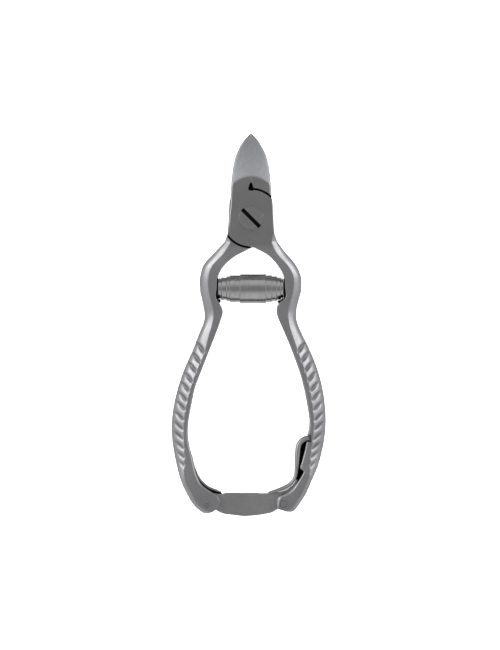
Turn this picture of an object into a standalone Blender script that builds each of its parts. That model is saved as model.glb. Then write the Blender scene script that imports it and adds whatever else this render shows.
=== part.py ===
"""Toenail nipper, 140 mm long, with a lap joint, a barrel spring and a handle lock.

The nipper lies on its back: jaws to +Y, handles to -Y, front face to +Z.  The pivot axis is the Z axis
and the back face of the joint is at Z = 0.  Sizes are in millimetres and become metres where points are
made.  The front lever is the right handle with the left jaw.  The rear lever is the same forging with the
left handle, turned half round about the Y axis, so both are built by one function in the front lever's
position.
"""

import math

import bmesh
import bpy
from mathutils import Matrix, Vector

MM = 0.001

# Joint
THICKNESS = 10.8            # through the joint, between its flat front and back
MID = THICKNESS / 2
GAP = 0.3                   # between pieces that touch or run on each other
LAP_RADIUS = 10.3           # round edge of each half-thick plate
SEAM = GAP / 2              # half the gap between the cutting edges

# Jaws: half width (x) against distance from the pivot (y), tip first
JAW_EDGE = [(30.95, 0.5), (29.9, 1.4), (28.4, 2.7), (25.9, 4.2), (22.5, 5.7), (18.5, 6.6), (14.0, 7.15),
            (10.3, 7.45)]
JOINT_EDGE = [(10.3, 7.45), (6.5, 7.85), (2.4, 8.15), (-1.0, 8.3), (-5.6, 8.6)]
PLATE_EDGE = [(10.3, 7.45), (6.5, 7.6), (2.4, 7.75), (-1.0, 7.9), (-6.3, 8.15)]     # stands back a little
GRIND_START = 15.4          # the jaw faces are ground down from here to the tip
GRIND_CROWN = 0.059         # how fast that line falls away from the middle, per mm
GRIND_SLOPE = 0.30
GRIND_HOLLOW = 0.006
RELIEF_Y = 11.3             # round relief behind the cutting edges
RELIEF_RADIUS = 1.0
RELIEF_DEPTH = 3.4          # from each face

# Handles, from the joint to the end: outer x, outer y, inner x, inner y, half thickness, outer rounding
RIGHT_HANDLE = [
    (9.5, -8.4, 1.5, -10.8, 5.4, 0.5), (12.3, -12.1, 6.4, -13.5, 5.2, 1.6), (16.3, -16.8, 10.2, -17.7, 4.5, 2.8),
    (18.3, -21.2, 12.1, -21.4, 4.1, 3.1), (18.5, -25.9, 12.5, -25.6, 3.9, 3.2), (17.8, -28.7, 12.6, -28.9, 3.9, 3.2),
    (17.0, -31.9, 10.2, -31.2, 3.9, 3.3), (16.6, -34.6, 9.3, -33.6, 3.8, 3.3), (16.9, -37.9, 10.1, -37.0, 3.8, 3.2),
    (18.4, -41.6, 12.6, -42.6, 3.8, 3.0), (21.1, -47.1, 15.4, -49.7, 3.7, 3.0), (23.9, -53.9, 17.9, -56.7, 3.7, 3.0),
    (25.9, -60.8, 19.5, -62.9, 3.7, 3.0), (27.1, -68.0, 20.7, -69.1, 3.7, 3.0), (27.4, -74.5, 21.4, -74.7, 3.7, 3.0),
    (27.0, -80.2, 20.7, -79.4, 3.8, 3.0), (26.0, -85.2, 19.8, -84.3, 4.0, 2.8), (24.6, -90.3, 18.6, -88.9, 4.3, 2.5),
    (23.0, -94.1, 18.0, -91.3, 4.6, 2.1), (22.6, -95.0, 19.2, -92.6, 4.7, 1.8), (20.5, -99.9, 16.9, -96.6, 4.9, 1.5),
    (18.6, -103.1, 13.9, -99.6, 4.9, 1.4), (16.5, -106.1, 10.1, -101.4, 4.9, 1.3), (15.1, -107.2, 9.3, -103.0, 4.9, 1.2),
    (13.0, -107.2, 9.3, -104.6, 4.9, 0.9), (11.0, -106.6, 9.6, -106.0, 4.9, 0.4),
]
LEFT_HANDLE = [             # mirrored to the right-hand side
    (9.6, -8.6, 1.6, -11.5, 5.4, 0.5), (13.2, -12.3, 6.9, -14.5, 5.2, 1.6), (17.2, -16.7, 10.8, -18.4, 4.5, 2.8),
    (18.7, -21.4, 12.3, -21.9, 4.1, 3.1), (18.8, -26.1, 12.6, -25.7, 3.9, 3.2), (18.2, -28.8, 12.8, -28.9, 3.9, 3.2),
    (17.5, -32.2, 11.2, -31.5, 3.9, 3.3), (17.0, -35.0, 10.3, -34.1, 3.8, 3.3), (17.3, -37.9, 10.9, -36.8, 3.8, 3.2),
    (19.0, -42.0, 12.9, -42.3, 3.8, 3.0), (21.4, -48.2, 15.8, -49.8, 3.7, 3.0), (24.3, -54.7, 18.2, -56.0, 3.7, 3.0),
    (26.5, -61.0, 20.5, -62.1, 3.7, 3.0), (28.3, -68.4, 22.0, -69.2, 3.7, 3.0), (29.1, -75.2, 23.0, -75.4, 3.7, 3.0),
    (28.8, -81.9, 22.9, -81.4, 3.9, 2.9), (27.5, -89.1, 21.5, -87.5, 4.3, 2.5), (25.7, -95.7, 20.3, -92.8, 4.7, 2.0),
    (23.4, -100.8, 18.3, -97.1, 4.9, 1.5), (21.0, -104.7, 15.2, -99.6, 4.9, 1.4), (18.1, -107.3, 12.2, -101.6, 4.9, 1.3),
    (15.9, -107.8, 11.5, -103.4, 4.9, 1.0), (13.9, -107.3, 12.0, -105.4, 4.9, 0.4),
]
EDGE_BREAK = 0.4            # small rounding of the other long edges

# Pivot screw
HEAD_RADIUS = 4.5
HEAD_DEPTH = 2.0
SHANK_RADIUS = 3.0
SLOT_WIDTH = 1.35
SLOT_DEPTH = 1.1
FIT = 0.15                  # clearance round pins and screws in their holes

# Barrel spring, its axis along X
SPRING_Y = -25.7
SPRING_X = -0.1
SPRING_STEPS = [(4.75, 5.3), (7.6, 4.9), (9.2, 4.5), (10.7, 4.1), (12.0, 3.5)]   # half length, radius
STRIP_THICKNESS = 0.5
PEG_HEAD_RADIUS = 2.2
PEG_RADIUS = 1.5
PEG_REACH = 9.4             # inner end of each peg, from the spring's middle

# Handle lock
SLOT = 3.2                  # width of the slots in the handle ends
BAR_THICKNESS = 2.6
LOCK_PIVOT = (11.9, -104.3)
LOCK_PIN_RADIUS = 1.3
CATCH_PIN = (-16.1, -104.8)
CATCH_PIN_RADIUS = 0.8
BAR_TAIL_RADIUS = 2.5
FINGER_LEVER_WIDTH = 5.6
FINGER_LEVER = [            # middle line and half thickness, from the tip to the foot on the bar
    (21.3, -80.4, 0.8), (19.7, -80.7, 0.95), (18.1, -81.9, 1.0), (17.3, -83.8, 1.0), (17.0, -86.5, 1.0),
    (16.8, -89.8, 0.85), (16.5, -93.0, 0.65), (15.9, -95.4, 0.55), (14.6, -97.3, 0.55), (12.7, -98.6, 0.55),
    (10.4, -99.4, 0.5), (8.4, -99.7, 0.35), (5.7, -99.95, 0.3), (4.2, -100.05, 0.2),
]
TIP_NOTCH_FLOOR = 2.3       # height of the floor of the notch that the lever's tip lies in
CATCH_LEAF_WIDTH = 2.6
CATCH_LEAF = [              # the same for the leaf spring over the hook
    (-21.6, -86.6, 0.22), (-21.1, -88.6, 0.22), (-20.7, -90.3, 0.22), (-20.1, -92.0, 0.22), (-19.2, -93.9, 0.22),
    (-18.3, -95.3, 0.22), (-17.0, -96.8, 0.22), (-15.2, -98.2, 0.22), (-12.9, -99.2, 0.22), (-11.0, -99.9, 0.2),
]


def clear_scene():
    for item in list(bpy.data.objects):
        bpy.data.objects.remove(item, do_unlink=True)


def new_collection(name):
    collection = bpy.data.collections.new(name)
    bpy.context.scene.collection.children.link(collection)
    return collection


def steel(name, grey, roughness):
    material = bpy.data.materials.new(name)
    material.use_nodes = True
    shader = material.node_tree.nodes["Principled BSDF"]
    shader.inputs["Base Color"].default_value = (grey, grey, grey * 1.02, 1.0)
    shader.inputs["Metallic"].default_value = 1.0
    shader.inputs["Roughness"].default_value = roughness
    return material


def spline(points, steps):
    """Smooth line through the points (Catmull-Rom), with a number of steps between each two."""
    rows = [Vector(point) for point in points]
    rows = [2 * rows[0] - rows[1]] + rows + [2 * rows[-1] - rows[-2]]
    line = []
    for before, start, end, after in zip(rows, rows[1:], rows[2:], rows[3:]):
        for step in range(steps):
            t = step / steps
            line.append(0.5 * (2 * start + (end - before) * t
                               + (2 * before - 5 * start + 4 * end - after) * t ** 2
                               + (3 * start - before - 3 * end + after) * t ** 3))
    line.append(rows[-2])
    return line


def arc(radius, start, end, steps, centre=(0.0, 0.0)):
    """Points of an arc, its angles in degrees."""
    angles = [math.radians(start + (end - start) * step / steps) for step in range(steps + 1)]
    return [Vector((centre[0] + radius * math.cos(a), centre[1] + radius * math.sin(a))) for a in angles]


def resample(points, count):
    """The same line with its points evenly spaced by number."""
    last = len(points) - 1
    line = []
    for index in range(count):
        place = last * index / (count - 1)
        low = min(int(place), last - 1)
        line.append(points[low].lerp(points[low + 1], place - low))
    return line


def add_object(name, mesh, material, target, origin=(0.0, 0.0, 0.0)):
    """Object whose mesh was made in place, with its own origin put on a point given in millimetres."""
    pivot = Vector(origin) * MM
    mesh.transform(Matrix.Translation(-pivot))
    item = bpy.data.objects.new(name, mesh)
    item.location = pivot
    mesh.materials.append(material)
    target.objects.link(item)
    return item


def make_cutter(item):
    item.hide_render = True
    item.display_type = "WIRE"
    return item


def cut(item, cutter):
    """Take a cutter away from a piece."""
    boolean = item.modifiers.new(cutter.name, "BOOLEAN")
    boolean.operation = "DIFFERENCE"
    boolean.object = cutter
    boolean.solver = "EXACT"


def loft(name, rings):
    """Closed mesh through rings of the same number of points."""
    shape = bmesh.new()
    rows = [[shape.verts.new(Vector(point) * MM) for point in ring] for ring in rings]
    for row, following in zip(rows, rows[1:]):
        for index, vertex in enumerate(row):
            other = (index + 1) % len(row)
            shape.faces.new((vertex, row[other], following[other], following[index]))
    shape.faces.new(rows[0])
    shape.faces.new(rows[-1])
    bmesh.ops.recalc_face_normals(shape, faces=shape.faces)
    mesh = bpy.data.meshes.new(name)
    shape.to_mesh(mesh)
    shape.free()
    mesh.shade_smooth()
    mesh.set_sharp_from_angle(angle=math.radians(35))
    return mesh


def slab(name, outline, low, high):
    """Flat outline extruded between two heights, made a mesh."""
    curve = bpy.data.curves.new(name, "CURVE")
    curve.dimensions = "2D"
    curve.fill_mode = "BOTH"
    curve.extrude = (high - low) / 2 * MM
    line = curve.splines.new("POLY")
    line.points.add(len(outline) - 1)
    for point, place in zip(line.points, outline):
        point.co = (place[0] * MM, place[1] * MM, 0.0, 1.0)
    line.use_cyclic_u = True
    guide = bpy.data.objects.new(name, curve)
    guide.location.z = (high + low) / 2 * MM
    bpy.context.scene.collection.objects.link(guide)
    graph = bpy.context.evaluated_depsgraph_get()
    mesh = bpy.data.meshes.new_from_object(guide.evaluated_get(graph))
    mesh.transform(Matrix.Translation(guide.location))
    shape = bmesh.new()
    shape.from_mesh(mesh)
    bmesh.ops.remove_doubles(shape, verts=shape.verts, dist=0.01 * MM)
    bmesh.ops.recalc_face_normals(shape, faces=shape.faces)
    shape.to_mesh(mesh)
    shape.free()
    bpy.data.objects.remove(guide, do_unlink=True)
    return mesh


def rod(name, radius, low, high, centre, sides=24, along_x=False):
    """Cylinder between two heights, or between two x positions."""
    shape = bmesh.new()
    bmesh.ops.create_cone(shape, cap_ends=True, segments=sides, radius1=radius * MM, radius2=radius * MM,
                          depth=(high - low) * MM)
    middle = (high + low) / 2
    if along_x:
        place = Matrix.Translation(Vector((middle, centre[0], centre[1])) * MM)
        bmesh.ops.transform(shape, matrix=place @ Matrix.Rotation(math.pi / 2, 4, "Y"), verts=shape.verts)
    else:
        place = Matrix.Translation(Vector((centre[0], centre[1], middle)) * MM)
        bmesh.ops.transform(shape, matrix=place, verts=shape.verts)
    mesh = bpy.data.meshes.new(name)
    shape.to_mesh(mesh)
    shape.free()
    mesh.shade_smooth()
    mesh.set_sharp_from_angle(angle=math.radians(35))
    return mesh


def turned(name, profile, material, target, steps=32):
    """Turned piece about Z: a profile of radius and height, from its top to its bottom."""
    shape = bmesh.new()
    points = [shape.verts.new((radius * MM, 0.0, height * MM)) for radius, height in profile]
    for start, end in zip(points, points[1:]):
        shape.edges.new((start, end))
    mesh = bpy.data.meshes.new(name)
    shape.to_mesh(mesh)
    shape.free()
    mesh.materials.append(material)
    item = bpy.data.objects.new(name, mesh)
    target.objects.link(item)
    screw = item.modifiers.new("turn", "SCREW")
    screw.steps = steps
    screw.render_steps = steps
    screw.use_merge_vertices = True
    screw.merge_threshold = 0.01 * MM
    screw.use_smooth_shade = True
    return item


def ground_depth(x, y):
    """How far the jaw faces are ground below the flat of the joint at a point."""
    distance = y - (GRIND_START - GRIND_CROWN * x * x)
    if distance <= 0:
        return 0.0
    return GRIND_SLOPE * distance - GRIND_HOLLOW * distance ** 2


def section(outer, inner, half_height, outer_round, outer_rise, inner_round):
    """Ring across a lever, from an outer to an inner edge point, with elliptical corners."""
    centre = (outer + inner) / 2
    across = (outer - inner).normalized()
    half_width = (outer - inner).length / 2
    outer_round = min(outer_round, 0.9 * half_width)
    inner_round = min(inner_round, 0.4 * half_width)
    corner_steps = 3
    face_steps = 4
    corners = []
    for side, rounding, rise in ((1, outer_round, outer_rise), (-1, inner_round, inner_round)):
        for step in range(corner_steps + 1):
            angle = math.pi / 2 * step / corner_steps
            reach = half_width - rounding * (1 - math.cos(angle))
            height = half_height - rise * (1 - math.sin(angle))
            corners.append((side * reach, height))
    top_outer = corners[:corner_steps + 1]
    top_inner = corners[corner_steps + 1:][::-1]
    face = [(top_outer[-1][0] + (top_inner[0][0] - top_outer[-1][0]) * step / face_steps, half_height)
            for step in range(1, face_steps)]
    top = top_outer + face + top_inner
    ring = top + [(reach, -height) for reach, height in reversed(top)]
    points = []
    for reach, height in ring:
        place = centre + across * reach
        depth = ground_depth(place.x, place.y)
        points.append((place.x, place.y, MID + height * (MID - depth) / MID))
    return points


def lever_mesh(name, handle):
    """Jaw, joint plate and handle as one loft from the tip of the jaw to the end of the handle."""
    rings = []
    sharp = 0.08
    for y, x in spline(JAW_EDGE, 2):
        rings.append(section(Vector((-SEAM, y)), Vector((-x, y)), MID, sharp, sharp, EDGE_BREAK))
    outer_side = [Vector((x, y)) for y, x in spline(JOINT_EDGE, 2)]
    inner_side = [Vector((-x, y)) for y, x in spline(PLATE_EDGE, 2)]
    first = next(index for index, point in enumerate(outer_side) if point.length < LAP_RADIUS)
    corner = outer_side[first]
    top_arc = arc(LAP_RADIUS, 89.0, math.degrees(math.atan2(corner.y, corner.x)) + 1.0, 5)
    upper = resample(inner_side[:first + 1], len(top_arc) + 2)[1:-1]
    for outer, inner in zip(top_arc, upper):
        rings.append(section(outer, inner, MID, sharp, sharp, EDGE_BREAK))
    for outer, inner in zip(outer_side[first:], inner_side[first:]):
        rings.append(section(outer, inner, MID, EDGE_BREAK, EDGE_BREAK, EDGE_BREAK))
    low_angle = 360 - math.degrees(math.acos(inner_side[-1].x / LAP_RADIUS))
    low_arc = arc(LAP_RADIUS, low_angle + 1.0, 265.0, 5)
    neck = resample([outer_side[-1], Vector(handle[0][:2])], len(low_arc) + 2)
    for outer, inner in zip(neck[1:], low_arc):
        rings.append(section(outer, inner, MID, EDGE_BREAK, EDGE_BREAK, EDGE_BREAK))
    for outer_x, outer_y, inner_x, inner_y, half_height, outer_round in handle_stations(handle):
        outer = Vector((outer_x, outer_y))
        inner = Vector((inner_x, inner_y))
        outer_rise = min(half_height * 0.98, outer_round * 1.2)
        inner_round = min(EDGE_BREAK + 0.1, (outer - inner).length * 0.2)
        rings.append(section(outer, inner, half_height, outer_round, outer_rise, inner_round))
    return loft(name, rings)


def handle_stations(handle):
    """Rows of the handle, with one more worked out between each two."""
    coordinates = spline([row[:3] for row in handle], 2)
    sizes = spline([row[3:] for row in handle], 2)
    return [(a.x, a.y, a.z, b.x, b.y, b.z) for a, b in zip(coordinates, sizes)]


def build_lever(name, handle, material, parts, cutters, turn_over):
    """One lever, cut in the front lever's position and then turned over if it is the rear one."""
    lever = add_object(name, lever_mesh(name, handle), material, parts)
    tools = [
        add_object(name + "_lap_cut", rod("lap", LAP_RADIUS + GAP, -1, MID + GAP / 2, (0, 0), 72), material, cutters),
        add_object(name + "_bore_cut", rod("bore", SHANK_RADIUS + FIT, -2, THICKNESS + 1, (0, 0), 32), material,
                   cutters),
    ]
    for side, low, high in (("back", -1, RELIEF_DEPTH), ("front", THICKNESS - RELIEF_DEPTH, THICKNESS + 1)):
        relief = rod("relief", RELIEF_RADIUS, low, high, (-SEAM, RELIEF_Y), 16)
        tools.append(add_object(name + "_" + side + "_relief_cut", relief, material, cutters))
    if turn_over:
        over = Matrix.Translation((0, 0, THICKNESS * MM)) @ Matrix.Rotation(math.pi, 4, "Y")
        for item in [lever] + tools:
            item.matrix_world = over @ item.matrix_world
    for tool in tools:
        cut(lever, make_cutter(tool))
    return lever


def cut_extra(lever, name, mesh, material, cutters):
    cut(lever, make_cutter(add_object(name, mesh, material, cutters)))


def strip_mesh(name, line, width):
    """Bent strip of varying thickness, its width along Z."""
    low = MID - width / 2
    high = MID + width / 2
    rows = spline(line, 2)
    rings = []
    for index, row in enumerate(rows):
        before = rows[max(index - 1, 0)]
        after = rows[min(index + 1, len(rows) - 1)]
        side = Vector((before.y - after.y, after.x - before.x)).normalized() * row.z
        rings.append([(row.x + side.x, row.y + side.y, low), (row.x + side.x, row.y + side.y, high),
                      (row.x - side.x, row.y - side.y, high), (row.x - side.x, row.y - side.y, low)])
    return loft(name, rings)


def build_lock_bar(material, parts, cutters):
    """Flat bar between the handle ends: an ear under the finger lever, an eye and a hook over the catch pin."""
    tail = arc(BAR_TAIL_RADIUS, -125, 35, 10, LOCK_PIVOT)
    ear = [(14.9, -100.9), (15.9, -98.9), (17.0, -96.6), (17.2, -95.6), (16.75, -95.3), (16.2, -96.5),
           (15.2, -97.9), (13.1, -99.4), (10.6, -100.25)]
    top = [(8.6, -100.4), (5.5, -100.6), (3.5, -100.6), (1.6, -100.45), (-7.3, -100.45), (-9.3, -100.85),
           (-11.2, -100.85), (-13.0, -100.6), (-15.2, -100.25), (-17.0, -100.0), (-17.9, -100.15), (-18.5, -100.9),
           (-18.5, -102.0)]
    hook = [(-18.3, -103.3), (-17.2, -103.3), (-17.1, -102.3), (-16.7, -102.1), (-14.9, -102.1), (-14.5, -102.4),
            (-14.4, -105.7)]
    bottom = [(-12.7, -106.8), (-11.3, -107.6), (-9.5, -108.2), (-5.8, -108.65), (-2.2, -109.0), (2.6, -108.6),
              (5.5, -108.1), (7.7, -107.6), (8.9, -106.9), (9.8, -106.4)]
    outline = [tuple(point) for point in tail] + ear + top + hook + bottom
    bar = add_object("lock_bar", slab("lock_bar", outline, MID - BAR_THICKNESS / 2, MID + BAR_THICKNESS / 2),
                     material, parts, (*LOCK_PIVOT, MID))
    cut_extra(bar, "bar_eye_cut", rod("eye", LOCK_PIN_RADIUS + FIT, 0, THICKNESS, LOCK_PIVOT), material, cutters)


def build_lock(front, rear, steels, parts, cutters):
    satin, bright, spring_steel = steels
    low = MID - SLOT / 2
    high = MID + SLOT / 2
    right_slot = [(17.6, -90.4), (20.5, -91.6), (17.2, -98.6), (15.6, -102.0), (15.4, -109.0), (4.0, -109.0),
                  (4.0, -98.0), (14.0, -93.0)]
    left_slot = [(-20.6, -85.0), (-22.4, -85.6), (-21.9, -90.0), (-20.4, -94.2), (-19.4, -98.0), (-19.1, -102.0),
                 (-18.9, -105.0), (-16.8, -109.0), (-4.0, -109.0), (-4.0, -98.0), (-14.0, -91.0)]
    tip_notch = [(22.2, -79.0), (22.2, -82.0), (18.0, -82.0), (18.0, -79.0)]
    cut_extra(front, "right_slot_cut", slab("right_slot", right_slot, low, high), satin, cutters)
    cut_extra(rear, "left_slot_cut", slab("left_slot", left_slot, low, high), satin, cutters)
    cut_extra(front, "tip_notch_cut", slab("tip_notch", tip_notch, TIP_NOTCH_FLOOR, THICKNESS + 1), satin, cutters)
    build_lock_bar(satin, parts, cutters)
    add_object("finger_lever", strip_mesh("finger_lever", FINGER_LEVER, FINGER_LEVER_WIDTH), satin, parts,
               (*LOCK_PIVOT, MID))
    add_object("catch_leaf_spring", strip_mesh("catch_leaf_spring", CATCH_LEAF, CATCH_LEAF_WIDTH), spring_steel,
               parts)
    half_end = 4.85
    for name, centre, radius, lever in (("lock_pivot_pin", LOCK_PIVOT, LOCK_PIN_RADIUS, front),
                                        ("catch_pin", CATCH_PIN, CATCH_PIN_RADIUS, rear)):
        add_object(name, rod(name, radius, MID - half_end, MID + half_end, centre), bright, parts, (*centre, MID))
        cut_extra(lever, name + "_cut", rod(name, radius + FIT, -1, THICKNESS + 1, centre), satin, cutters)


def build_pivot_screw(front, steels, parts, cutters):
    """Slotted screw with a flush cheese head, its threaded end flush with the back."""
    bright = steels[1]
    profile = [(0, THICKNESS), (HEAD_RADIUS - 0.2, THICKNESS), (HEAD_RADIUS, THICKNESS - 0.2),
               (HEAD_RADIUS, THICKNESS - HEAD_DEPTH), (SHANK_RADIUS, THICKNESS - HEAD_DEPTH), (SHANK_RADIUS, 0),
               (0, 0)]
    screw = turned("pivot_screw", profile, bright, parts)
    shape = bmesh.new()
    bmesh.ops.create_cube(shape, size=1.0)
    size = Matrix.Diagonal((3 * HEAD_RADIUS * MM, SLOT_WIDTH * MM, 2 * SLOT_DEPTH * MM, 1.0))
    place = Matrix.Translation((0, 0, THICKNESS * MM)) @ Matrix.Rotation(math.radians(-45), 4, "Z")
    bmesh.ops.transform(shape, matrix=place @ size, verts=shape.verts)
    mesh = bpy.data.meshes.new("driver_slot")
    shape.to_mesh(mesh)
    shape.free()
    cut_extra(screw, "driver_slot_cut", mesh, bright, cutters)
    seat = rod("head_seat", HEAD_RADIUS + FIT, THICKNESS - HEAD_DEPTH - FIT, THICKNESS + 1, (0, 0), 40)
    cut_extra(front, "head_seat_cut", seat, bright, cutters)


def build_spring(front, rear, steels, parts, cutters):
    """Barrel spring as a stepped tube that is open at both ends, and the pegs that hold it."""
    satin, bright, spring_steel = steels
    outside = []
    inside = []
    start = 0.0
    for length, radius in SPRING_STEPS:
        outside += [(radius, start), (radius, length)]
        inside += [(radius - STRIP_THICKNESS, start), (radius - STRIP_THICKNESS, length)]
        start = length
    inside = [(radius, max(length - STRIP_THICKNESS, 0.0)) for radius, length in inside[:-1]] + inside[-1:]
    upper = outside[::-1]
    profile = upper + [(radius, -length) for radius, length in outside[1:]]
    bore = [(radius, -length) for radius, length in inside[::-1]] + inside[1:]
    spring = turned("barrel_spring", profile + bore + profile[:1], spring_steel, parts)
    spring.rotation_euler.y = math.pi / 2
    spring.location = Vector((SPRING_X, SPRING_Y, MID)) * MM
    for side, name, lever in ((1, "spring_peg_right", front), (-1, "spring_peg_left", rear)):
        wall = 12.5
        outer_end = 18.2
        shape = [(0, PEG_REACH), (PEG_HEAD_RADIUS - 0.3, PEG_REACH), (PEG_HEAD_RADIUS, PEG_REACH + 0.3),
                 (PEG_HEAD_RADIUS, wall - GAP - 0.2), (PEG_RADIUS, wall - GAP - 0.2), (PEG_RADIUS, outer_end),
                 (0, outer_end)]
        peg = turned(name, [(radius, -x) for radius, x in shape], bright, parts, 24)
        peg.rotation_euler.y = -side * math.pi / 2
        peg.location = Vector((0, SPRING_Y, MID)) * MM
        ends = sorted((side * (wall - 2), side * (outer_end + 2)))
        hole = rod("peg_hole", PEG_RADIUS + FIT, ends[0], ends[1], (SPRING_Y, MID), 24, along_x=True)
        cut_extra(lever, name + "_cut", hole, satin, cutters)


def main():
    clear_scene()
    parts = new_collection("toenail_nipper")
    cutters = new_collection("cutters")
    steels = (steel("satin_stainless", 0.42, 0.38), steel("turned_stainless", 0.5, 0.3),
              steel("spring_steel", 0.32, 0.34))
    front = build_lever("front_lever", RIGHT_HANDLE, steels[0], parts, cutters, False)
    rear = build_lever("rear_lever", LEFT_HANDLE, steels[0], parts, cutters, True)
    build_pivot_screw(front, steels, parts, cutters)
    build_spring(front, rear, steels, parts, cutters)
    build_lock(front, rear, steels, parts, cutters)


main()
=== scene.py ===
"""Toenail nipper, 140 mm long, in stainless steel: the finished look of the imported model.

The nipper lies on its back with its jaws to +Y and its front face to +Z.  The pivot axis is the Z axis and the
back face of the joint is at Z = 0.  Sizes in the classes are millimetres and become metres where points are made.
"""

import logging
import math
from dataclasses import dataclass, field
from enum import Enum
from typing import Mapping, Sequence

import bmesh
import bpy
from mathutils import Matrix, Vector
from mathutils.geometry import interpolate_bezier


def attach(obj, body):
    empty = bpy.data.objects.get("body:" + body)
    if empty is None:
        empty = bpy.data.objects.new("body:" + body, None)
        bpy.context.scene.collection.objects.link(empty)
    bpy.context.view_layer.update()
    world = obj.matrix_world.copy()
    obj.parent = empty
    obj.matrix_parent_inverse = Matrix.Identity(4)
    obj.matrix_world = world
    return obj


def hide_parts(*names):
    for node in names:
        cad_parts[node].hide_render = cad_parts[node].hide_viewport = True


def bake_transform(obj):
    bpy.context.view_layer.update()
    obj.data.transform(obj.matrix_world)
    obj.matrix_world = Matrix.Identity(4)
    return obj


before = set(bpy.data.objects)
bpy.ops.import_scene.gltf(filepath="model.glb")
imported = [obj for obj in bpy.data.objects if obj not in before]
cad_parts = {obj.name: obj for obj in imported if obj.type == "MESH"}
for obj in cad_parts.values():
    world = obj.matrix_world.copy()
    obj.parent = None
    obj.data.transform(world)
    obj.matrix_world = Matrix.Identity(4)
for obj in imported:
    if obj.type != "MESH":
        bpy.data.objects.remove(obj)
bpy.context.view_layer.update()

LOG = logging.getLogger("nipper")
MM = 0.001

Point = tuple[float, ...]
Groove = tuple[Vector, Vector, float]       # middle, direction and depth of a grip groove
Socket = bpy.types.NodeSocket

# Joint, shared by both levers and the screw
THICKNESS = 10.8
MID = THICKNESS / 2
LAP_RADIUS = 10.3
SCREW_SHANK = 3.0
SCREW_HEAD = 4.5
SCREW_HEAD_DEPTH = 2.0
FIT = 0.03                  # clearance that is left to see round a pin or screw
SPRING_Y = -25.7
LOCK_PIVOT = (11.9, -104.3)
LOCK_PIN_RADIUS = 1.3
CATCH_PIN = (-16.1, -104.8)
CATCH_PIN_RADIUS = 0.8
GRIND_CROWN = 0.059         # how fast the arc above which the jaws are ground falls away to the sides

# Meshes
SHARP_ANGLE = math.radians(38)
FLAT = 0.99999              # faces that look straight up or down are flat
FACING = 0.5                # a face whose normal's Z is past this counts as an upper side
WELD = 0.0005 * MM          # points of a swept body nearer than this are one point
RECESS = "recess"           # attribute: how deep a point lies in a grip groove, in millimetres

# Materials
MARK_RANGE = (0.3, 0.7)     # where most values of a noise lie
TONE_RANGE = (0.32, 0.68)   # where most values of two mixed noises lie
WAVE_RATE = 20              # a wave node multiplies its coordinates by this
SMOOTH = {"interpolation_type": "SMOOTHSTEP"}
COLOURS = {"data_type": "RGBA"}
NUMBERS = {"data_type": "FLOAT"}


class Lay(Enum):
    """Which way the marks of a finish run."""

    TUMBLED = "no direction"
    LENGTHWISE = "along Y"
    RINGS_Z = "turned about Z"
    ROUND_X = "rolled round X"


# ------------------------------------------------------------------ curves and meshes


def spline(points: Sequence[Sequence[float]], steps: int) -> list[Vector]:
    """Smooth line through points (Catmull-Rom).

    Args:
        points: the points that it passes through.
        steps: how many steps it takes between each two.

    Returns:
        The points of the line, both ends among them.
    """
    rows = [Vector(point) for point in points]
    rows = [2 * rows[0] - rows[1]] + rows + [2 * rows[-1] - rows[-2]]
    line = []
    for before, start, end, after in zip(rows, rows[1:], rows[2:], rows[3:]):
        for step in range(steps):
            t = step / steps
            line.append(0.5 * (2 * start + (end - before) * t
                               + (2 * before - 5 * start + 4 * end - after) * t ** 2
                               + (3 * start - before - 3 * end + after) * t ** 3))
    line.append(rows[-2])
    return line


def arc(radius: float, start: float, end: float, steps: int, centre: Point = (0.0, 0.0)) -> list[Vector]:
    """Points of an arc.

    Args:
        radius: its radius.
        start: its first angle in degrees.
        end: its last angle in degrees.
        steps: how many steps it has.
        centre: its centre.

    Returns:
        Its points as 2-D vectors.
    """
    angles = [math.radians(start + (end - start) * step / steps) for step in range(steps + 1)]
    return [Vector((centre[0] + radius * math.cos(a), centre[1] + radius * math.sin(a))) for a in angles]


def resample(points: Sequence[Vector], count: int) -> list[Vector]:
    """The same line with its points evenly spaced by number.

    Args:
        points: the line.
        count: how many points it gets.

    Returns:
        The new points.
    """
    last = len(points) - 1
    line = []
    for index in range(count):
        place = last * index / (count - 1)
        low = min(int(place), last - 1)
        line.append(points[low].lerp(points[low + 1], place - low))
    return line


def smooth_step(value: float, low: float, high: float) -> float:
    """Rises smoothly from 0 at low to 1 at high."""
    t = min(max((value - low) / (high - low), 0.0), 1.0)
    return t * t * (3 - 2 * t)


def between(rows: Sequence[Point], place: float) -> list[float]:
    """Row of a table at a place between its rows.

    Args:
        rows: the table.
        place: the row number, with a fraction.

    Returns:
        The values there.
    """
    low = min(int(place), len(rows) - 2)
    share = min(place - low, 1.0)
    return [a + (b - a) * share for a, b in zip(rows[low], rows[low + 1])]


def swept(rings: Sequence[Sequence[Point]]) -> bmesh.types.BMesh:
    """Closed body through rings, made from a grid whose two long sides are merged.

    Args:
        rings: cross-sections in millimetres, all with the same number of points.  A fourth value of a point is
            how deep it lies in a groove.

    Returns:
        The body as a bmesh.
    """
    around = len(rings[0])
    along = len(rings) - 1
    shape = bmesh.new()
    bmesh.ops.create_grid(shape, x_segments=around, y_segments=along, size=1.0)
    recess = shape.verts.layers.float.new(RECESS) if len(rings[0][0]) > 3 else None
    for vertex in shape.verts:
        column = round((vertex.co.x + 1) / 2 * around) % around
        row = round((vertex.co.y + 1) / 2 * along)
        point = rings[row][column]
        vertex.co = Vector(point[:3]) * MM
        if recess:
            vertex[recess] = point[3]
    bmesh.ops.remove_doubles(shape, verts=shape.verts, dist=WELD)
    bmesh.ops.holes_fill(shape, edges=[edge for edge in shape.edges if edge.is_boundary], sides=0)
    bmesh.ops.recalc_face_normals(shape, faces=shape.faces)
    return shape


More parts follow.
